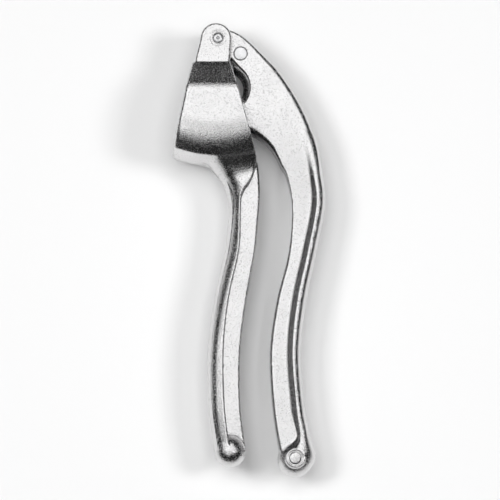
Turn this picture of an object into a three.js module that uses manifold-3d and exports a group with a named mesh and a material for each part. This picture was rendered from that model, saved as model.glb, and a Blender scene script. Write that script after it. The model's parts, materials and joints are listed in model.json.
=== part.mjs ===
// A die-cast aluminium garlic press, closed, lying on its side.
//
// Millimetres. In the design frame the hinge pin's axis is the Z axis and the mechanism lies in the plane
// z = 0. -Y runs from the hinge to the ends of the handles, and +X from the hopper's floor to its mouth.
// At the end the whole press is moved so that the hopper's flat side rests on z = 0.
import * as THREE from 'three';
import { mergeVertices } from 'three/addons/utils/BufferGeometryUtils.js';
import Module from 'manifold-3d';

const wasm = await Module();
wasm.setup();

const GAP = 0.3;                    // room kept between two pieces that meet

// Hinge ears, on the hopper casting.
const EAR_HALF = 11;                // half the width over both ears
const EAR_SLOT_HALF = 7;            // half the slot between them
const EAR_RADIUS = 6.2;
const EAR_CENTRE_X = -0.8;
const EAR_FOOT_Y = -9.6;            // where the ears end and the hopper begins

// Hopper: a wedge whose far wall is an arc about the hinge pin.
const HOPPER_HALF = 18;             // half its width
const HOPPER_RADIUS = 49.8;         // hinge pin to the outside of the far wall
const WALL = 2.4;
const SHOULDER = 11;                // length of the slope from the ears out to the full width
const FLOOR = { hingeX: -11.2, angle: THREE.MathUtils.degToRad(-110) };
const MOUTH = { hingeX: 4.9, angle: THREE.MathUtils.degToRad(-72.2) };
const SIEVE_HOLE_RADIUS = 1;
const SIEVE_PITCH = 3.6;
const SIEVE_ROWS = 10;

// Lever.
const LEVER_HEAD_HALF = 6.5;        // half the thickness of the head and the arch
const LEVER_HEAD_RADIUS = 6;
const WEB_HALF = 4.5;               // half the thickness of both handles' webs
const FORK_HALF = 3.2;              // half the slot that takes the plunger's arm
const NOTCH = { x: 3, y: -19, radius: 9.6 };

// Plunger.
const ARM_HALF = 2.7;
const KNUCKLE_RADIUS = 4.2;
const PLATE_THICKNESS = 3;
const PLATE_LIFT = 0.7;             // the plate's height over the hopper's floor when closed

// Pins.
const HINGE_PIN_RADIUS = 2;
const HINGE_PIN_HALF = 11.2;
const PLUNGER_PIN_RADIUS = 2.6;
const PLUNGER_PIN_HALF = 6.6;
const PLUNGER_PIN = { x: 8.9, y: -5.4 };

// Ball ends.
const LOWER_BALL = { x: 4.9, y: -163.2, radius: 6.3 };
const LEVER_BALL = { x: 30.4, y: -166.5, radius: 7 };

// Stations down the lower handle: x of the palm side, of the flange's crest and of the web's edge,
// and half the flange's width.
const LOWER_STATIONS = [
  { y: -44, palm: -6, crest: 13, web: 14.4, half: 13.5 },
  { y: -50, palm: -3.2, crest: 15, web: 15.8, half: 11 },
  { y: -56, palm: 1.6, crest: 12.9, web: 16.4, half: 8.8 },
  { y: -62, palm: 3.7, crest: 9.3, web: 16.4, half: 7.8 },
  { y: -70, palm: 4.4, crest: 8.6, web: 15.6, half: 7.5 },
  { y: -84, palm: 3, crest: 8.1, web: 14.5, half: 7.5 },
  { y: -104, palm: -1.4, crest: 3.8, web: 10.9, half: 7.5 },
  { y: -124, palm: -3.6, crest: 1.9, web: 8.5, half: 7.5 },
  { y: -144, palm: -3.5, crest: 2.2, web: 8.6, half: 7.2 },
  { y: -161, palm: -1.4, crest: 3.6, web: 10.4, half: 5.5 },
];

// The same down the lever's handle, from the arch to the ball.
const LEVER_STATIONS = [
  { y: -36, palm: 37.2, crest: 35.4, web: 14.5, half: 6.6 },
  { y: -44, palm: 40, crest: 37.6, web: 22.6, half: 6.8 },
  { y: -54, palm: 41.8, crest: 38.6, web: 27, half: 7.2 },
  { y: -66, palm: 42.5, crest: 39, web: 29.2, half: 7.5 },
  { y: -84, palm: 39.2, crest: 36.2, web: 27.9, half: 7.5 },
  { y: -104, palm: 35, crest: 31.6, web: 23.3, half: 7.5 },
  { y: -124, palm: 32.8, crest: 29.4, web: 20.7, half: 7.5 },
  { y: -144, palm: 34, crest: 30.6, web: 21.6, half: 7.2 },
  { y: -163, palm: 37, crest: 33.4, web: 24.8, half: 5.5 },
];

function toSolid(geometry) {
  const bare = geometry.clone();
  bare.deleteAttribute('normal');
  bare.deleteAttribute('uv');
  const merged = mergeVertices(bare, 1e-4);
  return new wasm.Manifold(new wasm.Mesh({
    numProp: 3,
    vertProperties: merged.attributes.position.array,
    triVerts: new Uint32Array(merged.index.array),
  }));
}

function toGeometry(solid) {
  const mesh = solid.getMesh();
  const geometry = new THREE.BufferGeometry();
  geometry.setAttribute('position', new THREE.BufferAttribute(mesh.vertProperties, 3));
  geometry.setIndex(new THREE.BufferAttribute(mesh.triVerts, 1));
  const flat = geometry.toNonIndexed();
  flat.computeVertexNormals();
  return flat;
}

function signedVolume(points, index) {
  let volume = 0;
  for (let i = 0; i < index.length; i += 3) {
    const [a, b, c] = [points[index[i]], points[index[i + 1]], points[index[i + 2]]];
    volume += a.dot(b.clone().cross(c)) / 6;
  }
  return volume;
}

// A closed body through rings of points, with flat caps. outline is the first ring in its own plane.
function loft(rings, outline) {
  const clockwise = THREE.ShapeUtils.isClockWise(outline);
  const order = outline.map((point, i) => (clockwise ? outline.length - 1 - i : i));
  const count = order.length;
  const points = rings.flatMap((ring) => order.map((i) => ring[i]));
  const last = points.length - count;
  const index = [];
  for (const [a, b, c] of THREE.ShapeUtils.triangulateShape(order.map((i) => outline[i]), [])) {
    index.push(a, c, b);
    index.push(last + a, last + b, last + c);
  }
  for (let ring = 0; ring < last; ring += count) {
    for (let i = 0; i < count; i += 1) {
      const here = ring + i;
      const next = ring + ((i + 1) % count);
      index.push(here, next, here + count);
      index.push(next, next + count, here + count);
    }
  }
  if (signedVolume(points, index) < 0) index.reverse();
  const geometry = new THREE.BufferGeometry().setFromPoints(points);
  geometry.setIndex(index);
  return toSolid(geometry);
}

// A shape in the XY plane, thickened by half on both sides of z = 0.
function slab(shape, half, curveSegments = 12) {
  const geometry = new THREE.ExtrudeGeometry(shape, { depth: 2 * half, bevelEnabled: false, curveSegments });
  geometry.translate(0, 0, -half);
  return toSolid(geometry);
}

function disc(x, y, radius, half, sides = 32) {
  const geometry = new THREE.CylinderGeometry(radius, radius, 2 * half, sides);
  geometry.rotateX(Math.PI / 2);
  geometry.translate(x, y, 0);
  return toSolid(geometry);
}

function ball({ x, y, radius }) {
  const geometry = new THREE.SphereGeometry(radius, 28, 18);
  geometry.translate(x, y, 0);
  return toSolid(geometry);
}

// The hopper's outline, as seen from its mouth: s runs from the hinge side to the far end.
function hopperOutline(length, { start, shoulder = SHOULDER, earHalf, half, end }) {
  const outline = [new THREE.Vector2(start, -earHalf), new THREE.Vector2(shoulder, -half)];
  const steps = 12;
  const centre = length - HOPPER_HALF;
  const reach = HOPPER_HALF - end;
  for (let i = 0; i <= steps; i += 1) {
    const angle = Math.PI * (i / steps - 0.5);
    outline.push(new THREE.Vector2(centre + reach * Math.cos(angle), half * Math.sin(angle)));
  }
  outline.push(new THREE.Vector2(shoulder, half), new THREE.Vector2(start, earHalf));
  return outline;
}

// One ring of the hopper. place says where the ring's line meets the ears' foot and the far wall's arc.
function hopperRing(place, inset) {
  const hingeEnd = new THREE.Vector2(place.hingeX, EAR_FOOT_Y);
  const farEnd = new THREE.Vector2(Math.cos(place.angle), Math.sin(place.angle)).multiplyScalar(HOPPER_RADIUS);
  const along = farEnd.clone().sub(hingeEnd);
  const length = along.length();
  along.normalize();
  const outline = hopperOutline(length, inset);
  const ring = outline.map(({ x: s, y: z }) => new THREE.Vector3(
    hingeEnd.x + along.x * s,
    hingeEnd.y + along.y * s,
    z,
  ));
  return { outline, ring };
}

// The place of a ring at a height over the floor, parallel to it.
function overFloor(height) {
  return { hingeX: FLOOR.hingeX + height, angle: FLOOR.angle + height / HOPPER_RADIUS };
}

function hopperLoft(from, to, inset, steps) {
  const rings = [];
  for (let i = 0; i <= steps; i += 1) {
    const place = {
      hingeX: THREE.MathUtils.lerp(from.hingeX, to.hingeX, i / steps),
      angle: THREE.MathUtils.lerp(from.angle, to.angle, i / steps),
    };
    rings.push(hopperRing(place, inset));
  }
  return loft(rings.map(({ ring }) => ring), rings[0].outline);
}

// A T-shaped section: a rounded palm flange, and a web that points to the other handle.
function handleSection({ y, palm, crest, web, half }) {
  const side = Math.sign(crest - palm);
  const bulge = crest - palm;
  const outline = [];
  const steps = 10;
  for (let i = 0; i <= steps; i += 1) {
    const angle = Math.PI * (i / steps - 0.5);
    const x = crest - bulge * Math.cos(angle) ** 0.6;
    outline.push(new THREE.Vector2(x, half * Math.sin(angle)));
  }
  const step = crest + 0.4 * side;
  outline.push(new THREE.Vector2(step, WEB_HALF), new THREE.Vector2(web, WEB_HALF));
  outline.push(new THREE.Vector2(web, -WEB_HALF), new THREE.Vector2(step, -WEB_HALF));
  return { outline, ring: outline.map((point) => new THREE.Vector3(point.x, y, point.y)) };
}

function handleLoft(stations) {
  const curveOf = (name) => new THREE.SplineCurve(
    stations.map((station) => new THREE.Vector2(station[name], station.y)),
  );
  const curves = ['palm', 'crest', 'web', 'half'].map((name) => [name, curveOf(name)]);
  const steps = 3 * (stations.length - 1);
  const sections = [];
  for (let i = 0; i <= steps; i += 1) {
    const station = { y: curves[0][1].getPoint(i / steps).y };
    for (const [name, curve] of curves) station[name] = curve.getPoint(i / steps).x;
    sections.push(handleSection(station));
  }
  return loft(sections.map(({ ring }) => ring), sections[0].outline);
}

function earShape() {
  const shape = new THREE.Shape();
  shape.moveTo(EAR_CENTRE_X + EAR_RADIUS, 0);
  shape.absarc(EAR_CENTRE_X, 0, EAR_RADIUS, 0, Math.PI);
  shape.lineTo(-9.3, EAR_FOOT_Y);
  shape.lineTo(-10.6, EAR_FOOT_Y - 5);
  shape.lineTo(5, EAR_FOOT_Y - 5);
  shape.lineTo(4.8, EAR_FOOT_Y);
  return shape;
}

// The slot between the ears runs into the hopper; a low web closes it on the floor's side.
function earSlot() {
  const shape = new THREE.Shape();
  shape.moveTo(-12, 12);
  shape.lineTo(-12, -6);
  shape.lineTo(-6.4, -6);
  shape.lineTo(-6.4, -18);
  shape.lineTo(12, -18);
  shape.lineTo(12, 12);
  return slab(shape, EAR_SLOT_HALF);
}

// Rows of holes through the floor, kept clear of the hopper's walls.
function sieveHoles() {
  const { outline } = hopperRing(overFloor(0), { start: 2.5, earHalf: 8.5, half: 15.6, end: WALL });
  const farEnd = Math.max(...outline.map((point) => point.x));
  const floorAngle = Math.atan2(
    HOPPER_RADIUS * Math.cos(FLOOR.angle) - FLOOR.hingeX,
    EAR_FOOT_Y - HOPPER_RADIUS * Math.sin(FLOOR.angle),
  );
  const holes = [];
  const edge = 2.2 * SIEVE_HOLE_RADIUS;
  for (let row = 0; row < SIEVE_ROWS; row += 1) {
    const s = 6 + row * SIEVE_PITCH;
    const pastCentre = Math.max(0, s - (farEnd + WALL - HOPPER_HALF));
    const wallHalf = s < SHOULDER
      ? THREE.MathUtils.lerp(8.5, 15.6, (s - 2.5) / (SHOULDER - 2.5))
      : Math.sqrt(Math.max(0, 15.6 ** 2 - pastCentre ** 2));
    const offset = row % 2 === 0 ? 0 : SIEVE_PITCH / 2;
    for (let z = offset; z <= wallHalf - edge; z += SIEVE_PITCH) {
      for (const side of z === 0 ? [1] : [1, -1]) {
        const geometry = new THREE.CylinderGeometry(SIEVE_HOLE_RADIUS, SIEVE_HOLE_RADIUS, 4 * WALL, 8);
        geometry.rotateZ(Math.PI / 2);
        geometry.translate(0, -s, side * z);
        geometry.rotateZ(floorAngle);
        geometry.translate(FLOOR.hingeX, EAR_FOOT_Y, 0);
        holes.push(toSolid(geometry));
      }
    }
  }
  return wasm.Manifold.union(holes);
}

function hopperHandle() {
  const outer = { start: 0, earHalf: EAR_HALF, half: HOPPER_HALF, end: 0 };
  const inner = { start: 2.5, earHalf: 8.5, half: HOPPER_HALF - WALL, end: WALL };
  const pastMouth = { hingeX: MOUTH.hingeX + 6, angle: MOUTH.angle + 0.2 };
  const cavity = hopperLoft(overFloor(WALL), MOUTH, inner, 6)
    .add(hopperLoft(MOUTH, pastMouth, inner, 1));
  return hopperLoft(FLOOR, MOUTH, outer, 6)
    .add(slab(earShape(), EAR_HALF))
    .add(handleLoft(LOWER_STATIONS))
    .add(ball(LOWER_BALL))
    .subtract(cavity)
    .subtract(earSlot())
    .subtract(disc(0, 0, HINGE_PIN_RADIUS + GAP, EAR_HALF + 1))
    .subtract(sieveHoles());
}

// Outer edge of the head and arch, the far end cut square where the handle takes over, and back along the
// inner arc, the nose and the crescent notch.
function archShape() {
  const shape = new THREE.Shape();
  shape.absarc(0, 0, LEVER_HEAD_RADIUS, 1.25 * Math.PI, 0.28 * Math.PI, true);
  shape.lineTo(10.9, 0.4);
  shape.lineTo(13.4, -3.4);
  shape.splineThru([
    new THREE.Vector2(25, -11.6),
    new THREE.Vector2(32, -24.2),
    new THREE.Vector2(37.2, -36),
    new THREE.Vector2(41.2, -52),
  ]);
  shape.lineTo(26.4, -52);
  shape.splineThru([
    new THREE.Vector2(22.6, -44),
    new THREE.Vector2(18.4, -39),
    new THREE.Vector2(12.9, -35.8),
  ]);
  shape.lineTo(6, -35.4);
  shape.splineThru([
    new THREE.Vector2(1.6, -33),
    new THREE.Vector2(0.8, -29),
    new THREE.Vector2(3.2, -26.2),
  ]);
  shape.lineTo(10.3, -25.2);
  const up = Math.atan2(-25.2 - NOTCH.y, 10.3 - NOTCH.x);
  shape.absarc(NOTCH.x, NOTCH.y, NOTCH.radius, up, 0.25 * Math.PI, false);
  shape.lineTo(5.4, -7.8);
  return shape;
}

// The slot in the lever for the plunger's knuckle and arm.
function forkSlot() {
  const shape = new THREE.Shape();
  const room = 0.6;
  shape.absarc(PLUNGER_PIN.x, PLUNGER_PIN.y, KNUCKLE_RADIUS + room, 0.95 * Math.PI, -0.1 * Math.PI, true);
  shape.absarc(NOTCH.x, NOTCH.y, NOTCH.radius + 1.4 + room, 0.25 * Math.PI, -0.16 * Math.PI, true);
  shape.lineTo(0, -27);
  shape.lineTo(0, -10);
  return slab(shape, FORK_HALF);
}

function leverHandle() {
  return slab(archShape(), LEVER_HEAD_HALF)
    .add(handleLoft(LEVER_STATIONS))
    .add(ball(LEVER_BALL))
    .subtract(forkSlot())
    .subtract(disc(0, 0, HINGE_PIN_RADIUS + GAP, EAR_HALF))
    .subtract(disc(PLUNGER_PIN.x, PLUNGER_PIN.y, PLUNGER_PIN_RADIUS + GAP, EAR_HALF));
}

// The arm that shows in the crescent notch, from the knuckle round to the plate's back rib.
function armShape() {
  const shape = new THREE.Shape();
  const outer = NOTCH.radius + 1.4;
  const inner = NOTCH.radius - 2.6;
  shape.moveTo(PLUNGER_PIN.x + KNUCKLE_RADIUS, PLUNGER_PIN.y);
  shape.absarc(NOTCH.x, NOTCH.y, outer, 0.2 * Math.PI, -0.16 * Math.PI, true);
  shape.lineTo(9.6, -24.6);
  shape.lineTo(2.6, -25.6);
  shape.lineTo(0.2, -28.6);
  shape.lineTo(1, -33.4);
  shape.lineTo(-6, -43);
  shape.lineTo(-12.2, -43);
  shape.lineTo(-7.8, -15);
  shape.lineTo(-3, -23);
  shape.lineTo(NOTCH.x + inner * Math.cos(-0.25 * Math.PI), NOTCH.y + inner * Math.sin(-0.25 * Math.PI));
  shape.absarc(NOTCH.x, NOTCH.y, inner, -0.25 * Math.PI, 0.28 * Math.PI, false);
  shape.lineTo(PLUNGER_PIN.x - KNUCKLE_RADIUS + 0.4, PLUNGER_PIN.y - 1);
  return shape;
}

function plunger() {
  const low = WALL + PLATE_LIFT;
  const room = 0.5;
  const inset = {
    start: 4.4,
    shoulder: SHOULDER + 1.2,
    earHalf: 8.5 - room,
    half: HOPPER_HALF - WALL - room,
    end: WALL + 2 * room,
  };
  const plate = hopperLoft(overFloor(low), overFloor(low + PLATE_THICKNESS), inset, 1);
  return plate
    .add(slab(armShape(), ARM_HALF, 8))
    .add(disc(PLUNGER_PIN.x, PLUNGER_PIN.y, KNUCKLE_RADIUS, ARM_HALF))
    .subtract(disc(PLUNGER_PIN.x, PLUNGER_PIN.y, PLUNGER_PIN_RADIUS + GAP, EAR_HALF));
}

const CAST_ALUMINIUM = { color: 0xc9cacb, roughness: 0.38, metalness: 1 };
const PIN_STEEL = { color: 0xb8babd, roughness: 0.3, metalness: 1 };

function piece(name, solid, look) {
  const mesh = new THREE.Mesh(toGeometry(solid), new THREE.MeshStandardMaterial(look));
  mesh.name = name;
  return mesh;
}

const press = new THREE.Group();
press.add(piece('hopper_handle', hopperHandle(), CAST_ALUMINIUM));
press.add(piece('lever_handle', leverHandle(), CAST_ALUMINIUM));
press.add(piece('plunger', plunger(), CAST_ALUMINIUM));
press.add(piece('hinge_pin', disc(0, 0, HINGE_PIN_RADIUS, HINGE_PIN_HALF, 24), PIN_STEEL));
press.add(piece(
  'plunger_pin',
  disc(PLUNGER_PIN.x, PLUNGER_PIN.y, PLUNGER_PIN_RADIUS, PLUNGER_PIN_HALF, 24),
  PIN_STEEL,
));

// The row's origin is the middle of the box's base.
const box = new THREE.Box3().setFromObject(press);
press.position.set(-(box.min.x + box.max.x) / 2, -(box.min.y + box.max.y) / 2, -box.min.z);

export default press;
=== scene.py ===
"""A die-cast aluminium garlic press, lying on its side on a pale table, seen from above.

Each casting is a distance field on a fine grid, turned into a mesh by OpenVDB. A field is negative inside
the metal, and rounded joins and cuts of fields give the fillets of a casting. Fields are in millimetres in
the design frame: the hinge pin's axis is the Z axis, -Y runs to the ends of the handles, +X points from the
hopper's floor to its mouth, and the press is the same on both sides of z = 0.
"""

import json
import math

import bmesh
import bpy
import numpy as np
import openvdb
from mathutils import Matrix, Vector

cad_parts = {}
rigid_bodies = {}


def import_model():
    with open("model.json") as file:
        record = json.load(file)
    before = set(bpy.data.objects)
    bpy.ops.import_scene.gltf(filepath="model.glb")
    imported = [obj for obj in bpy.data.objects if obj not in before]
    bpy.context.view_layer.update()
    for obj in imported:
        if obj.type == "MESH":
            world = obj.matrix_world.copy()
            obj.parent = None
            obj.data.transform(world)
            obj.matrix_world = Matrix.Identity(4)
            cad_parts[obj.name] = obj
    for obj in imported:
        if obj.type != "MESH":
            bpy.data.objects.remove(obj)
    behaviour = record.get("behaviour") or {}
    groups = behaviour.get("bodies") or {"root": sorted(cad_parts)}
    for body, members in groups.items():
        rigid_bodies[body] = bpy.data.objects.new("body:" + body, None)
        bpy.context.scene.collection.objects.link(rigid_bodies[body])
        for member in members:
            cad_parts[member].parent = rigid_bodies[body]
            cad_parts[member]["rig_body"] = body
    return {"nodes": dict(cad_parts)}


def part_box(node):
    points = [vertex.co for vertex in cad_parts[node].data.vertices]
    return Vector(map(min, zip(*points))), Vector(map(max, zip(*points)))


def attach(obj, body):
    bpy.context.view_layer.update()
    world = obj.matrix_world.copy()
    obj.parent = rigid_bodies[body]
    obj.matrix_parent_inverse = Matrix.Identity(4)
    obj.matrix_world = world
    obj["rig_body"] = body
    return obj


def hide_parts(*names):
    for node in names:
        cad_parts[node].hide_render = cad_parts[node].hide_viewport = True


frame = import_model()

MM = 0.001
CELL = 0.3  # size of a grid cell
FIELD_LIMIT = 3.0  # a field is cut off past this distance from the surface

# Hinge ears, on the hopper casting.
EAR_HALF = 11.0
EAR_SLOT_HALF = 7.0
EAR_RADIUS = 6.2
EAR_CENTRE_X = -0.8
EAR_FOOT_Y = -9.6
EAR_GROOVE_RADIUS = 2.85  # the groove round the hinge pin's end

# Hopper: a wedge whose far wall is an arc about the hinge pin.
HOPPER_HALF = 18.0
HOPPER_RADIUS = 49.8
SIDE_REACH = 54.7  # where the round side would end without the steep far wall
FAR_ROUND = 21.4
FAR_EDGE = (47.9, 12.25)  # distance from the pin and z of the edge between the round side and the steep wall
FAR_DRAFT = math.radians(14.7)
NECK_RADIUS = 19.0
WALL = 2.4
SHOULDER_RISE = 7.0 / 10.8  # the slope from the ears out to the full width
FLOOR_HINGE_X = -10.3
FLOOR_ANGLE = math.radians(-111.6)
MOUTH_HINGE_X = 4.9
MOUTH_ANGLE = math.radians(-72.2)
SIEVE_HOLE_RADIUS = 1.0
SIEVE_PITCH = 3.6
SIEVE_ROWS = 10
SIEVE_START = 6.0  # from the ears' foot to the first row of holes
FLOOR_HALF_AT_FOOT = 8.5  # half the floor's inner width by the ears
FLOOR_WIDENING_START = 2.5  # from the ears' foot to where the floor starts to widen
FLOOR_WIDENING_LENGTH = 8.5  # and on to its full width

# Lever.
HEAD_HALF = 6.5
HEAD_RADIUS = 6.0
WEB_HALF = 4.5
FORK_HALF = 3.2
NOTCH = (3.0, -19.0)
NOTCH_RADIUS = 9.6
NOSE_TIP_Y = -29.0

# Plunger.
ARM_HALF = 2.7
ARM_WIDTH = 4.2
KNUCKLE_RADIUS = 4.2
PLATE_THICKNESS = 3.0
PLATE_LIFT = 0.7

# Pins and ball ends.
HINGE_PIN_RADIUS = 2.0
PLUNGER_PIN = (8.9, -5.4)
PLUNGER_PIN_RADIUS = 2.6
PIN_PLAY = 0.06
LOWER_BALL = (4.9, -163.2)
LOWER_BALL_RADIUS = 6.3
LEVER_BALL = (30.4, -166.5)
LEVER_BALL_RADIUS = 7.0
BOSS_RADIUS = 3.9
BOSS_HALF = 6.75
BOSS_GROOVE_RADIUS = 2.65

# Half profiles of the pins: radius, then z.
HINGE_PIN_PROFILE = (
    (2.0, 10.4),
    (1.95, 10.75),
    (1.7, 10.95),
    (1.0, 11.1),
    (0.55, 11.1),
    (0.45, 10.9),
    (0.35, 10.3),
)
PLUNGER_PIN_PROFILE = ((2.6, 6.36), (2.54, 6.46), (2.3, 6.52), (0.1, 6.54))

# The plunger's spine, from the lever's nose to the plate.
SPINE = (
    (9.6, -24.6),
    (2.6, -25.6),
    (0.2, -28.6),
    (1.0, -33.4),
    (-6.0, -43.0),
    (-12.2, -43.0),
    (-7.8, -15.0),
    (-3.0, -23.0),
    (6.5, -23.2),
)

# Boxes round the castings: lowest x and y, highest x and y, and highest z.
HOPPER_BOX = ((-19, -172), (19, 8), 19.2)
LEVER_BOX = ((-8, -176), (44.5, 8), 9)
PLUNGER_BOX = ((-16, -50), (15, 0), 16.5)

VIEW_CENTRE = Vector((12.64, -83.25, 0))

# Camera and lamps. Distances and the view's width are in metres, the tilt and the lamps' widths in degrees.
CAMERA_DISTANCE = 1.8
CAMERA_TILT = 9
VIEW_WIDTH = 0.1975
LAMP_DISTANCE = 2.2
FILL_DISTANCE = 1.5  # nearer than the camera, so its hood shades nothing
HOOD_DISTANCE = 1.05 * CAMERA_DISTANCE
HOOD_HALF_WIDTH = 9  # in degrees, seen from the press

# Fill lamps: name, how far they lean to +X, width, glow.
FILLS = (
    ("top_fill", 0, 30, 5.7),
    ("left_fill", -0.5, 14, 18.5),
    ("right_fill", 0.75, 14, 16.0),
)

# Stations down the lower handle: y, then x of the palm side, the flange's crest and the web's edge, half the
# flange's width, and the radius of the flange's rounded corners.
LOWER_STATIONS = (
    (-44, -6.0, 13.0, 14.4, 8.2, 5.0),
    (-50, -3.2, 15.0, 15.8, 8.4, 5.0),
    (-56, 1.4, 12.9, 16.4, 8.3, 7.5),
    (-62, 3.4, 9.3, 16.6, 7.8, 8.8),
    (-70, 4.1, 8.7, 16.1, 7.6, 7.8),
    (-84, 2.6, 8.1, 14.8, 7.6, 5.2),
    (-104, -1.6, 3.9, 11.3, 7.6, 4.0),
    (-124, -3.9, 2.0, 8.9, 7.6, 3.7),
    (-144, -3.7, 2.3, 8.9, 7.4, 3.3),
    (-155, -2.6, 3.4, 10.0, 6.9, 3.3),
    (-164, -1.3, 4.6, 11.1, 6.0, 3.6),
)

# Points along the lever's back, from its head to the handle.
LEVER_BACK = (
    (7.0, 3.4),
    (10.1, 1.5),
    (13.8, -1.7),
    (18.8, -6.5),
    (23.5, -11.3),
    (27.8, -17.3),
    (31.5, -23.3),
    (35.5, -31.3),
    (38.5, -39.3),
    (40.8, -47.3),
)

# Stations down the lever's handle, from the arch to the ball, with the same columns as the lower handle's.
LEVER_STATIONS = (
    (-36, 37.2, 33.2, 14.5, 5.2, 1.9),
    (-44, 40.0, 36.0, 22.6, 6.1, 1.9),
    (-54, 41.8, 37.8, 27.0, 6.9, 1.9),
    (-66, 42.5, 38.5, 29.2, 7.4, 1.9),
    (-84, 39.2, 35.2, 27.9, 7.5, 1.9),
    (-104, 35.0, 30.9, 23.1, 7.5, 1.9),
    (-124, 32.8, 28.9, 20.4, 7.5, 1.9),
    (-144, 34.0, 30.2, 21.2, 7.4, 1.9),
    (-157, 36.2, 31.8, 22.9, 7.1, 1.9),
    (-162, 36.9, 32.2, 23.8, 6.3, 1.9),
    (-167, 37.3, 32.4, 24.4, 4.6, 1.9),
)


# ---------------------------------------------------------------- fields


class Grid:
    """A block of cells over a box, upper half only: the other half is its mirror image."""

    def __init__(self, low, high, top):
        self.low = low
        self.x = (low[0] + CELL * np.arange(int((high[0] - low[0]) / CELL)))[:, None, None].astype(np.float32)
        self.y = (low[1] + CELL * np.arange(int((high[1] - low[1]) / CELL)))[None, :, None].astype(np.float32)
        self.z = (CELL * (0.5 + np.arange(int(top / CELL))))[None, None, :].astype(np.float32)

    def points(self, field):
        """The field's surface as points in millimetres and quads."""
        whole = np.concatenate([field[:, :, ::-1], field], axis=2).astype(np.float32)
        volume = openvdb.FloatGrid(10.0)
        volume.copyFromArray(np.ascontiguousarray(np.clip(whole, -FIELD_LIMIT, FIELD_LIMIT)))
        points, quads = volume.convertToQuads(isovalue=0.0)
        middle = field.shape[2] - 0.5
        points = points * CELL + np.array([self.low[0], self.low[1], -middle * CELL])
        return points, quads


def round_max(a, b, radius):
    """What both fields hold, with the edge between them rounded."""
    pa = np.maximum(a + radius, 0)
    pb = np.maximum(b + radius, 0)
    return np.sqrt(pa * pa + pb * pb) - radius + np.minimum(np.maximum(a + radius, b + radius), 0)


def round_min(a, b, radius):
    """What either field holds, with a fillet where they meet."""
    return -round_max(-a, -b, radius)


def cut(a, b, radius):
    """The first field without the second, with the edge of the cut rounded."""
    return round_max(a, -b, radius)


def ramp(where, places, values):
    """Values that run evenly from each place to the next."""
    return np.interp(where, places, values).astype(np.float32)


def circle(grid, centre, radius):
    """An endless upright cylinder."""
    return np.hypot(grid.x - centre[0], grid.y - centre[1]) - radius


def ball(grid, centre, radius):
    flat = (grid.x - centre[0]) ** 2 + (grid.y - centre[1]) ** 2
    return np.sqrt(flat + grid.z**2) - radius


def smooth_curve(points, steps=12):
    """A Catmull-Rom curve through the points."""
    points = np.asarray(points, float)
    padded = np.vstack([2 * points[0] - points[1], points, 2 * points[-1] - points[-2]])
    out = []
    for p0, p1, p2, p3 in zip(padded, padded[1:], padded[2:], padded[3:]):
        t = np.linspace(0, 1, steps, endpoint=False)[:, None]
        bend = 2 * p0 - 5 * p1 + 4 * p2 - p3
        twist = -p0 + 3 * p1 - 3 * p2 + p3
        out.append(0.5 * (2 * p1 + (p2 - p0) * t + bend * t**2 + twist * t**3))
    out.append(points[-1:])
    return np.vstack(out)


def arc(centre, radius, start, end, steps=24):
    """Points on an arc between two angles in degrees."""
    angles = np.radians(np.linspace(start, end, steps))
    return np.stack([centre[0] + radius * np.cos(angles), centre[1] + radius * np.sin(angles)], axis=1)


def outline_field(grid, outline):
    """Signed distance to a closed outline in the XY plane."""
    x, y = np.broadcast_arrays(grid.x[:, :, 0], grid.y[:, :, 0])
    nearest = np.full(x.shape, 1e9)
    inside = np.zeros(x.shape, bool)
    for (ax, ay), (bx, by) in zip(outline, np.roll(outline, -1, axis=0)):
        dx, dy = bx - ax, by - ay
        length2 = max(dx * dx + dy * dy, 1e-12)
        t = np.clip(((x - ax) * dx + (y - ay) * dy) / length2, 0, 1)
        nearest = np.minimum(nearest, (x - ax - t * dx) ** 2 + (y - ay - t * dy) ** 2)
        if ay != by:
            crosses = (ay > y) != (by > y)
            inside ^= crosses & (x < ax + (y - ay) * dx / dy)
    distance = np.sqrt(nearest)
    return np.where(inside, -distance, distance).astype(np.float32)[:, :, None]


class Handle:
    """A handle's lines, worked out at every row of the grid."""

    def __init__(self, grid, stations):
        lines = smooth_curve(stations)[::-1]
        self.rows = grid.y[0, :, 0]
        self.inward = np.sign(stations[2][2] - stations[2][1])  # +1 or -1, towards the other handle
        self.palm = self.line(lines, 1)
        self.crest = self.line(lines, 2)
        self.web = self.line(lines, 3)
        self.half = self.line(lines, 4)
        self.corner = self.line(lines, 5)
        self.ends = (stations[-1][0], stations[0][0])

    def line(self, lines, column):
        values = np.interp(self.rows, lines[:, 0], lines[:, column])
        return values[None, :, None].astype(np.float32)

    def depth(self, grid, line):
        """Distance past a line towards the other handle."""
        slope = np.gradient(line[0, :, 0], CELL)[None, :, None]
        return self.inward * (grid.x - line) / np.sqrt(1 + slope**2)

    def flange(self, grid, bow, lean):
        """The palm flange, without its inner face.

        bow is how far the palm side stands back at its top edge, and lean is the slope of the top, from the
        crest line down to the palm side.
        """
        depth = self.depth(grid, self.palm)
        from_crest = np.maximum(np.abs(self.crest - self.palm) - depth, 0)
        palm_side = bow * (grid.z / self.half) ** 2 - depth
        return round_max(palm_side, grid.z - self.half + lean * from_crest, self.corner)

    def between_ends(self, grid):
        return np.maximum(self.ends[0] - grid.y, grid.y - self.ends[1])


# ---------------------------------------------------------------- castings


def far_point(angle):
    """A point of the hopper's far wall, as x and y."""
    return HOPPER_RADIUS * np.array([math.cos(angle), math.sin(angle)])


def line_field(grid, hinge_x, angle):
    """Signed distance from a line between the ears' foot and the far wall, and the line's direction.

    The distance is positive towards +X.
    """
    along = far_point(angle) - (hinge_x, EAR_FOOT_Y)
    along /= np.hypot(*along)
    return -(grid.x - hinge_x) * along[1] + (grid.y - EAR_FOOT_Y) * along[0], along


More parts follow.
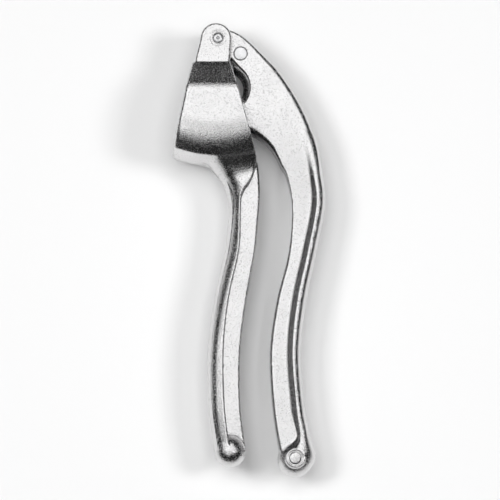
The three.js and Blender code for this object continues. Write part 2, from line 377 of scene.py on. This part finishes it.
def hopper_walls(grid, inset):
    """The hopper's side, slope and round far end, moved inwards."""
    reach = np.hypot(grid.x, grid.y)
    side = round_max(reach - SIDE_REACH, grid.z - HOPPER_HALF, FAR_ROUND)
    draft = (reach - FAR_EDGE[0]) * math.cos(FAR_DRAFT) + (grid.z - FAR_EDGE[1]) * math.sin(FAR_DRAFT)
    wall = round_max(reach - HOPPER_RADIUS, draft, 3.0)
    far = round_max(side, wall, 0.4) + inset
    slope_cos = 1 / math.hypot(1, SHOULDER_RISE)
    slope = (grid.z - EAR_HALF - SHOULDER_RISE * (EAR_FOOT_Y - grid.y)) * slope_cos + inset
    return round_max(far, slope, 1.2)


def hopper_body(grid, floor):
    """The hopper as a solid wedge, without its hollow."""
    body = round_max(hopper_walls(grid, 0), grid.y - EAR_FOOT_Y, 0.5)
    return round_max(body, -floor, ramp(-grid.y, (18, 24), (0.9, 1.8)))


def hopper_hollow(grid, floor):
    """The room for the garlic."""
    hollow = round_max(hopper_walls(grid, WALL), WALL - floor, 1.2)
    return round_max(hollow, grid.y - EAR_FOOT_Y + WALL, 1.0)


def head_slot(grid):
    """The slot for the lever's head, between the ears and on through the slope on the mouth's side."""
    mouth_side = np.maximum(-6.4 - grid.x, -18 - grid.y)
    between_ears = np.maximum(-6 - grid.y, -5)
    return np.maximum(grid.z - EAR_SLOT_HALF, np.minimum(mouth_side, between_ears))


def lower_flange(grid, handle):
    """The lower handle's palm flange. Its top leans towards the palm, except near the hopper."""
    bow = ramp(-grid.y, (70, 104), (0.1, 0.6))
    lean = ramp(-grid.y, (70, 84, 104, 124, 150), (0.05, 0.38, 0.42, 0.36, 0.39))
    return round_max(handle.flange(grid, bow, lean), handle.between_ends(grid), 3.0)


def neck(grid, handle):
    """The hollow slope from the edge of the hopper's round side down to the palm flange."""
    turn = math.radians(43)
    centre = (FAR_EDGE[0] + NECK_RADIUS * math.sin(turn), FAR_EDGE[1] + NECK_RADIUS * math.cos(turn))
    reach = np.minimum(np.hypot(grid.x, grid.y), centre[0])
    slope = NECK_RADIUS - np.hypot(reach - centre[0], grid.z - centre[1])
    top = np.maximum(slope, grid.z - FAR_EDGE[1])
    body = round_max(top, -handle.depth(grid, handle.palm), ramp(-grid.y, (46, 58), (4.0, 7.0)))
    return round_max(np.maximum(body, grid.y + 42), -grid.y - 59, 4.0)


def mouth_trim(grid):
    """The side of the hopper's mouth and the palm flange's crest that the metal is on."""
    crest = smooth_curve([(row[2], row[0]) for row in LOWER_STATIONS[1:]])
    mouth = [(MOUTH_HINGE_X, EAR_FOOT_Y), far_point(MOUTH_ANGLE)]
    before = [(crest[-1][0], -200), (-80, -200), (-80, 40), (MOUTH_HINGE_X, 40)]
    return outline_field(grid, np.vstack([mouth, crest, before]))


def lower_web(grid, handle):
    """The lower handle's thin web, with room for the ball."""
    web = round_max(handle.depth(grid, handle.web), grid.z - WEB_HALF, 1.2)
    web = np.maximum(web, 1.5 - handle.depth(grid, handle.palm))
    web = round_max(web, np.maximum(handle.ends[0] - grid.y, grid.y + 48), 1.0)
    return cut(web, circle(grid, LOWER_BALL, LOWER_BALL_RADIUS - 0.6), 0.6)


def ear_outline():
    """A hinge ear, round at the top and widening to its foot."""
    cap = arc((EAR_CENTRE_X, 0), EAR_RADIUS, 0, 180)
    foot = [(-9.3, EAR_FOOT_Y), (-10.6, EAR_FOOT_Y - 5), (5, EAR_FOOT_Y - 5), (4.8, EAR_FOOT_Y)]
    return np.vstack([cap, foot])


def sieve_holes(grid, body, height, along):
    """Cuts rows of holes through the floor. height is the distance over the floor's outer face."""
    where = np.nonzero(np.broadcast_to(height < WALL + 1.5, body.shape) & (body < 2))
    x, y, z = grid.x[where[0], 0, 0], grid.y[0, where[1], 0], grid.z[0, 0, where[2]]
    down_floor = (x - FLOOR_HINGE_X) * along[0] + (y - EAR_FOOT_Y) * along[1]
    holes = np.full(down_floor.shape, 1e3)
    floor_length = math.dist(far_point(FLOOR_ANGLE), (FLOOR_HINGE_X, EAR_FOOT_Y))
    inner_half = HOPPER_HALF - WALL
    for row in range(SIEVE_ROWS):
        place = SIEVE_START + row * SIEVE_PITCH
        past_straight = max(0.0, place - (floor_length - HOPPER_HALF))
        at_round_end = math.sqrt(max(0.0, inner_half**2 - past_straight**2))
        widened = (place - FLOOR_WIDENING_START) / FLOOR_WIDENING_LENGTH
        room = min(at_round_end, FLOOR_HALF_AT_FOOT + widened * (inner_half - FLOOR_HALF_AT_FOOT))
        hole_z = (row % 2) * SIEVE_PITCH / 2
        while hole_z <= room - 2.2 * SIEVE_HOLE_RADIUS:
            holes = np.minimum(holes, np.hypot(down_floor - place, z - hole_z) - SIEVE_HOLE_RADIUS)
            hole_z += SIEVE_PITCH
    body[where] = cut(body[where], holes, 0.3)


def hopper_field(grid):
    """The hopper, the hinge ears and the lower handle, as one casting."""
    floor, along = line_field(grid, FLOOR_HINGE_X, FLOOR_ANGLE)
    handle = Handle(grid, LOWER_STATIONS)

    # The hopper and the palm flange flow into each other, and one line trims both on the mouth's side.
    flow = ramp(grid.z, (2, 9), (2.0, 6.0))
    body = round_min(hopper_body(grid, floor), lower_flange(grid, handle), flow)
    body = round_min(body, neck(grid, handle), 0.3)
    body = round_max(body, mouth_trim(grid), 0.35)
    body = round_min(body, ball(grid, LOWER_BALL, LOWER_BALL_RADIUS), 0.7)
    body = round_min(body, lower_web(grid, handle), 0.5)
    ears = round_max(outline_field(grid, ear_outline()), grid.z - EAR_HALF, 1.1)
    body = round_min(body, ears, 0.6)

    body = cut(body, hopper_hollow(grid, floor), 0.6)
    body = cut(body, head_slot(grid), 0.5)
    body = cut(body, circle(grid, (0, 0), HINGE_PIN_RADIUS + PIN_PLAY), 0.15)
    groove = np.hypot(circle(grid, (0, 0), EAR_GROOVE_RADIUS), grid.z - EAR_HALF - 0.15) - 0.35
    body = cut(body, groove, 0.2)
    sieve_holes(grid, body, floor, along)
    return body


def lever_outer():
    """The lever's outer edge, round the head and down to the ball."""
    head = arc((0, 0), HEAD_RADIUS, 225, 50)
    palm = [(row[1], row[0]) for row in LEVER_STATIONS[2:]]
    return np.vstack([head[:-1], smooth_curve([head[-1], *LEVER_BACK, *palm])])


def lever_inner():
    """The lever's inner edge, from the head down to the ball."""
    notch_foot = (10.3, -25.2)
    start = math.degrees(math.atan2(notch_foot[1] - NOTCH[1], notch_foot[0] - NOTCH[0]))
    notch = arc(NOTCH, NOTCH_RADIUS, 43, start)
    under_nose = [(0.8, -29.6), (2, -33.4), (6, -36.0), (12.5, -36.9)]
    nose = smooth_curve([notch_foot, (6, -25.6), (2.4, -26.6), *under_nose])
    arch = [(12.5, -36.9), (15, -37.9), (17.9, -39.8), (20.9, -42.9), (23.2, -46.6), (25, -50.5)]
    web = [(row[3], row[0]) for row in LEVER_STATIONS[2:]]
    return np.vstack([[(2, -5.66), (5.4, -7.6)], notch, nose, smooth_curve(arch + web)])


def lever_plate(grid, handle):
    """The arched plate from the head to the web, which stops short of the flange's palm side."""
    outer = lever_outer()
    inner = lever_inner()
    below_nose = inner[inner[:, 1] < NOSE_TIP_Y]
    plan = outline_field(grid, np.vstack([outer, inner[::-1]]))
    back = outline_field(grid, np.vstack([outer, [(-80, -200), (-80, -20)]]))
    arch = outline_field(grid, np.vstack([below_nose, [(80, -200), (80, 40), (-80, 40), (-80, -35)]]))

    # The plate thins from the head to the web. Its back is rounded, more so towards the handle.
    thin = np.clip((-30 - grid.y) / 50, 0, 1)
    top = grid.z - HEAD_HALF - (WEB_HALF - HEAD_HALF) * thin**2 * (3 - 2 * thin)
    back_edge = ramp(-grid.y, (0, 8, 12, 42, 50), (1.3, 2.2, 2.6, 3.0, 4.0))
    arch_edge = ramp(grid.x, (10, 22, 27), (2.6, 1.6, 0.6))
    plate = round_max(plan, top, ramp(-grid.y, (60, 90), (0.5, 1.7)))
    plate = np.maximum(plate, round_max(back, top, back_edge))
    plate = np.maximum(plate, round_max(arch, top, arch_edge))
    plate = np.maximum(plate, ramp(-grid.y, (38, 54), (0.6, 3.2)) - handle.depth(grid, handle.palm))
    return round_max(plate, -164.3 - grid.y, 1.6)


def lever_flange(grid, handle):
    """The lever's palm flange and the ball at its end."""
    flange = round_max(handle.flange(grid, 1.5, 0), handle.depth(grid, handle.crest), 0.9)
    flange = round_max(flange, handle.between_ends(grid), 3.0)
    return round_min(flange, ball(grid, LEVER_BALL, LEVER_BALL_RADIUS), 4.5)


def with_boss(grid, body):
    """Adds a round boss to both sides of the ball, with a groove in its face."""
    body = round_min(body, round_max(circle(grid, LEVER_BALL, BOSS_RADIUS), grid.z - BOSS_HALF, 0.4), 0.5)
    groove = np.hypot(circle(grid, LEVER_BALL, BOSS_GROOVE_RADIUS), grid.z - BOSS_HALF - 0.1) - 0.4
    return cut(body, groove, 0.1)


def fork_slot(grid):
    """The slot in the lever for the plunger's knuckle and arm."""
    arm_room = np.maximum(circle(grid, NOTCH, NOTCH_RADIUS + 2.0), -26.5 - grid.y)
    arm_room = np.maximum(arm_room, grid.y + 5)
    plan = np.minimum(circle(grid, PLUNGER_PIN, KNUCKLE_RADIUS + 0.6), arm_room)
    return np.maximum(plan, grid.z - FORK_HALF)


def lever_field(grid):
    """The lever with its forked head, arch, handle and ball, as one casting."""
    handle = Handle(grid, LEVER_STATIONS)
    join = ramp(-grid.y, (148, 158), (3.0, 1.0))
    body = round_min(lever_plate(grid, handle), lever_flange(grid, handle), join)
    body = with_boss(grid, body)
    body = cut(body, fork_slot(grid), 0.4)
    for centre, radius in (((0, 0), HINGE_PIN_RADIUS), (PLUNGER_PIN, PLUNGER_PIN_RADIUS)):
        body = cut(body, circle(grid, centre, radius + PIN_PLAY), 0.12)
    return body


def plunger_plate(grid):
    """The plate over the hopper's floor, with two ribs across its back."""
    height, _ = line_field(grid, FLOOR_HINGE_X, FLOOR_ANGLE)
    over_middle = height - WALL - PLATE_LIFT - PLATE_THICKNESS / 2
    plate = round_max(hopper_walls(grid, WALL + 0.7), grid.y - EAR_FOOT_Y + 4.4, 1.0)
    plate = round_max(plate, np.abs(over_middle) - PLATE_THICKNESS / 2, 0.5)
    for rib_y in (-22.0, -38.0):
        rib = round_max(np.abs(grid.y - rib_y) - 1.0, grid.z - 9.5, 0.8)
        rib = round_max(rib, np.abs(over_middle - 2) - 2.5, 0.8)
        plate = round_min(plate, rib, 1.0)
    return plate


def plunger_arm(grid):
    """The curved arm, the crescent that shows in the lever's notch."""
    across = circle(grid, NOTCH, NOTCH_RADIUS + 1.6)
    arm = (np.hypot(across / ARM_WIDTH, grid.z / ARM_HALF) - 1) * ARM_HALF
    for limit in (across, -25 - grid.y, grid.y + 6, 6 - grid.x, grid.z - ARM_HALF):
        arm = np.maximum(arm, limit)
    return arm


def plunger_field(grid):
    """The plunger: its plate, spine, arm and knuckle, as one casting."""
    spine = round_max(outline_field(grid, np.array(SPINE)), grid.z - ARM_HALF, 0.7)
    knuckle = round_max(circle(grid, PLUNGER_PIN, KNUCKLE_RADIUS), grid.z - ARM_HALF, 0.5)
    body = round_min(plunger_plate(grid), spine, 1.0)
    body = round_min(body, plunger_arm(grid), 1.0)
    body = round_min(body, knuckle, 0.8)
    return cut(body, circle(grid, PLUNGER_PIN, PLUNGER_PIN_RADIUS + PIN_PLAY), 0.3)


# ---------------------------------------------------------------- meshes


def new_piece(name, mesh, node, material):
    """A piece in a CAD node's place, on the node's body."""
    piece = bpy.data.objects.new(name, mesh)
    bpy.context.scene.collection.objects.link(piece)
    mesh.materials.append(material)
    mesh.shade_smooth()
    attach(piece, frame["nodes"][node]["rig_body"])
    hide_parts(node)
    return piece


def casting(name, node, box, field, material):
    """A piece made from a field over a box."""
    grid = Grid(*box)
    points, quads = grid.points(field(grid))
    mesh = bpy.data.meshes.new(name)
    mesh.vertices.add(len(points))
    mesh.vertices.foreach_set("co", ((points * MM) + np.array(origin)).astype(np.float32).ravel())
    mesh.loops.add(4 * len(quads))
    mesh.loops.foreach_set("vertex_index", quads[:, ::-1].astype(np.int32).ravel())
    mesh.polygons.add(len(quads))
    mesh.polygons.foreach_set("loop_start", 4 * np.arange(len(quads), dtype=np.int32))
    mesh.update(calc_edges=True)
    return new_piece(name, mesh, node, material)


def turned(name, node, centre, profile, material):
    """A pin turned from a half profile of (radius, z), the same at both ends."""
    sides = 64
    mesh = bpy.data.meshes.new(name)
    bm = bmesh.new()
    whole = [(r, -z) for r, z in reversed(profile)] + list(profile)
    rings = []
    for radius, z in whole:
        ring = []
        for i in range(sides):
            angle = 2 * math.pi * i / sides
            spot = Vector((centre[0] + radius * math.cos(angle), centre[1] + radius * math.sin(angle), z))
            ring.append(bm.verts.new(spot * MM + origin))
        rings.append(ring)
    for low, high in zip(rings, rings[1:]):
        for i in range(sides):
            j = (i + 1) % sides
            bm.faces.new((low[i], low[j], high[j], high[i]))
    for ring, z, turn in ((rings[0], -profile[-1][1], -1), (rings[-1], profile[-1][1], 1)):
        middle = bm.verts.new(Vector((centre[0], centre[1], z)) * MM + origin)
        for i in range(sides):
            j = (i + 1) % sides
            bm.faces.new((ring[i], ring[j], middle)[::turn])
    bm.normal_update()
    bm.to_mesh(mesh)
    bm.free()
    return new_piece(name, mesh, node, material)


# ---------------------------------------------------------------- materials


class Nodes:
    """Short ways to add nodes to one tree."""

    def __init__(self, tree):
        self.tree = tree
        self.coordinates = tree.nodes.new("ShaderNodeTexCoord").outputs["Object"]

    def link(self, source, socket):
        self.tree.links.new(source, socket)

    def noise(self, scale, detail=3.0, roughness=0.55):
        node = self.tree.nodes.new("ShaderNodeTexNoise")
        node.inputs["Scale"].default_value = scale
        node.inputs["Detail"].default_value = detail
        node.inputs["Roughness"].default_value = roughness
        self.link(self.coordinates, node.inputs["Vector"])
        return node.outputs["Fac"]

    def spots(self, scale):
        node = self.tree.nodes.new("ShaderNodeTexVoronoi")
        node.inputs["Scale"].default_value = scale
        node.inputs["Randomness"].default_value = 1.0
        self.link(self.coordinates, node.inputs["Vector"])
        return node.outputs["Distance"]

    def math(self, operation, *values):
        node = self.tree.nodes.new("ShaderNodeMath")
        node.operation = operation
        for value, socket in zip(values, node.inputs):
            self.link(value, socket)
        return node.outputs["Value"]

    def steepness(self):
        """1 on level faces, 0 on upright ones."""
        split = self.tree.nodes.new("ShaderNodeSeparateXYZ")
        self.link(self.tree.nodes.new("ShaderNodeNewGeometry").outputs["Normal"], split.inputs[0])
        return self.math("ABSOLUTE", split.outputs["Z"])

    def spread(self, value, low, high, out_low, out_high):
        node = self.tree.nodes.new("ShaderNodeMapRange")
        node.clamp = True
        for key, number in zip(("From Min", "From Max", "To Min", "To Max"), (low, high, out_low, out_high)):
            node.inputs[key].default_value = number
        self.link(value, node.inputs["Value"])
        return node.outputs["Result"]

    def mix(self, factor, a, b):
        """Colour a where the factor is 0, b where it is 1. Either may be another node's output."""
        node = self.tree.nodes.new("ShaderNodeMix")
        node.data_type = "RGBA"
        self.link(factor, node.inputs["Factor"])
        for colour, socket in ((a, node.inputs[6]), (b, node.inputs[7])):
            if isinstance(colour, tuple):
                socket.default_value = (*colour, 1)
            else:
                self.link(colour, socket)
        return node.outputs[2]

    def bump(self, height, distance, strength, normal=None):
        node = self.tree.nodes.new("ShaderNodeBump")
        node.inputs["Distance"].default_value = distance
        node.inputs["Strength"].default_value = strength
        self.link(height, node.inputs["Height"])
        if normal:
            self.link(normal, node.inputs["Normal"])
        return node.outputs["Normal"]


def new_material(name, metallic=0.0):
    """A material with its shader."""
    material = bpy.data.materials.new(name)
    material.use_nodes = True
    shader = material.node_tree.nodes["Principled BSDF"]
    shader.inputs["Metallic"].default_value = metallic
    return material, shader


def cast_aluminium():
    """Bright die-cast metal: rough specks and patches, grain, pits, slow waves, and painted shade that
    darkens upright walls.
    """
    material, shader = new_material("cast_aluminium", metallic=1.0)
    nodes = Nodes(material.node_tree)

    grain = nodes.noise(2100, 2, 0.65)
    specks = nodes.spread(grain, 0.53, 0.66, 0.0, 1.0)
    patches = nodes.noise(90, 3)
    # painted shade: nearly upright faces get a much darker base colour (0.24), standing in for the dark that
    # those walls mirror
    painted_wall_shade = nodes.spread(nodes.steepness(), 0.01, 0.06, 1.0, 0.0)
    clean = nodes.mix(patches, (0.78, 0.775, 0.775), (0.70, 0.695, 0.70))
    speckled = nodes.mix(specks, clean, (0.60, 0.595, 0.60))
    nodes.link(nodes.mix(painted_wall_shade, speckled, (0.24, 0.235, 0.24)), shader.inputs["Base Color"])

    smooth = nodes.spread(patches, 0.3, 0.7, 0.12, 0.2)
    rougher = nodes.spread(specks, 0.0, 1.0, 0.0, 0.3)
    nodes.link(nodes.math("ADD", smooth, rougher), shader.inputs["Roughness"])

    pits = nodes.spread(nodes.spots(1100), 0.0, 0.28, 0.0, 1.0)
    wavy = nodes.bump(nodes.noise(160, 2), 0.0002, 0.2)
    grainy = nodes.bump(grain, 0.00013, 0.8, wavy)
    nodes.link(nodes.bump(pits, 0.00004, 0.5, grainy), shader.inputs["Normal"])
    return material


def pin_steel():
    """Plain steel with fine marks and a dull, slightly dirty end."""
    material, shader = new_material("pin_steel", metallic=1.0)
    nodes = Nodes(material.node_tree)
    stains = nodes.noise(700, 4)
    nodes.link(nodes.mix(stains, (0.82, 0.82, 0.83), (0.66, 0.66, 0.67)), shader.inputs["Base Color"])
    nodes.link(nodes.spread(stains, 0.3, 0.7, 0.22, 0.36), shader.inputs["Roughness"])
    nodes.link(nodes.bump(nodes.noise(3000, 3), 0.00004, 0.4), shader.inputs["Normal"])
    return material


def plain(name, grey, roughness):
    """One even grey, for the stage."""
    material, shader = new_material(name)
    shader.inputs["Base Color"].default_value = (grey, grey, grey, 1)
    shader.inputs["Roughness"].default_value = roughness
    return material


# ---------------------------------------------------------------- stage


def table():
    """A pale table under the press."""
    bpy.ops.mesh.primitive_plane_add(size=6, location=(0, 0, 0))
    plane = bpy.context.object
    plane.name = "table_top"
    plane.data.materials.append(plain("table_top", 0.9, 0.6))


def aim(thing, place, target):
    """Puts a lamp, camera or disc at a place, facing the target."""
    thing.location = place
    thing.rotation_euler = (target - Vector(place)).to_track_quat("-Z", "Y").to_euler()


def lamp(name, lean, width, glow, distance, target):
    """A square lamp facing the press. Its width is an angle seen from the press, in degrees."""
    away = Vector((*lean, 1.0)).normalized() * distance
    data = bpy.data.lights.new(name, "AREA")
    data.size = 2 * distance * math.tan(math.radians(width / 2))
    data.energy = glow * math.pi * data.size**2
    light = bpy.data.objects.new(name, data)
    bpy.context.scene.collection.objects.link(light)
    aim(light, target + away, target)
    return light


def surroundings():
    """A dark room round the lights. The camera itself sees a pale backdrop."""
    world = bpy.data.worlds.new("room")
    bpy.context.scene.world = world
    world.use_nodes = True
    tree = world.node_tree
    dark = tree.nodes["Background"]
    dark.inputs["Color"].default_value = (0.02, 0.02, 0.02, 1)
    pale = tree.nodes.new("ShaderNodeBackground")
    pale.inputs["Color"].default_value = (0.8, 0.8, 0.8, 1)
    choice = tree.nodes.new("ShaderNodeMixShader")
    tree.links.new(tree.nodes.new("ShaderNodeLightPath").outputs["Is Camera Ray"], choice.inputs[0])
    tree.links.new(dark.outputs[0], choice.inputs[1])
    tree.links.new(pale.outputs[0], choice.inputs[2])
    tree.links.new(choice.outputs[0], tree.nodes["World Output"].inputs["Surface"])


def lights(target):
    """Lamps that show in the metal, and fill lamps that light everything but don't show in it."""
    softbox = lamp("overhead_softbox", (-0.08, 0.16), 72, 1.29, LAMP_DISTANCE, target)
    softbox.visible_diffuse = False
    lamp("left_lamp", (-1.05, 0), 20, 0.7, LAMP_DISTANCE, target)
    lamp("right_lamp", (0.92, 0), 8, 6, LAMP_DISTANCE, target)
    for name, lean, width, glow in FILLS:
        lamp(name, (lean, 0), width, glow, FILL_DISTANCE, target).visible_glossy = False


def up_the_view(target, distance):
    """A place on the camera's line of sight, which leans a little towards the handle ends."""
    tilt = math.radians(CAMERA_TILT)
    return target + distance * Vector((0, -math.sin(tilt), math.cos(tilt)))


def camera_hood(target):
    """A dark disc behind the camera, which the metal mirrors and the camera doesn't see."""
    mesh = bpy.data.meshes.new("camera_hood")
    bm = bmesh.new()
    radius = HOOD_DISTANCE * math.tan(math.radians(HOOD_HALF_WIDTH))
    bmesh.ops.create_circle(bm, cap_ends=True, segments=48, radius=radius)
    bm.to_mesh(mesh)
    bm.free()
    mesh.materials.append(plain("hood_black", 0.02, 0.5))
    hood = bpy.data.objects.new("camera_hood", mesh)
    bpy.context.scene.collection.objects.link(hood)
    aim(hood, up_the_view(target, HOOD_DISTANCE), target)
    hood.visible_camera = False


def camera(target):
    data = bpy.data.cameras.new("camera")
    data.sensor_width = 36
    data.lens = 36 * CAMERA_DISTANCE / VIEW_WIDTH
    eye = bpy.data.objects.new("camera", data)
    bpy.context.scene.collection.objects.link(eye)
    aim(eye, up_the_view(target, CAMERA_DISTANCE), target)
    bpy.context.scene.camera = eye


# ---------------------------------------------------------------- the press and its stage

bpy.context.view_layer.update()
pin_low, pin_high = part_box("hinge_pin")
origin = (Vector(pin_low) + Vector(pin_high)) / 2

metal = cast_aluminium()
steel = pin_steel()
casting("hopper_casting", "hopper_handle", HOPPER_BOX, hopper_field, metal)
casting("lever_casting", "lever_handle", LEVER_BOX, lever_field, metal)
casting("plunger_casting", "plunger", PLUNGER_BOX, plunger_field, metal)
turned("hinge_pin_steel", "hinge_pin", (0, 0), HINGE_PIN_PROFILE, steel)
turned("plunger_pin_steel", "plunger_pin", PLUNGER_PIN, PLUNGER_PIN_PROFILE, steel)

centre = origin + VIEW_CENTRE * MM
table()
surroundings()
lights(centre)
camera(centre)
camera_hood(centre)
bpy.context.scene.view_settings.view_transform = "Standard"
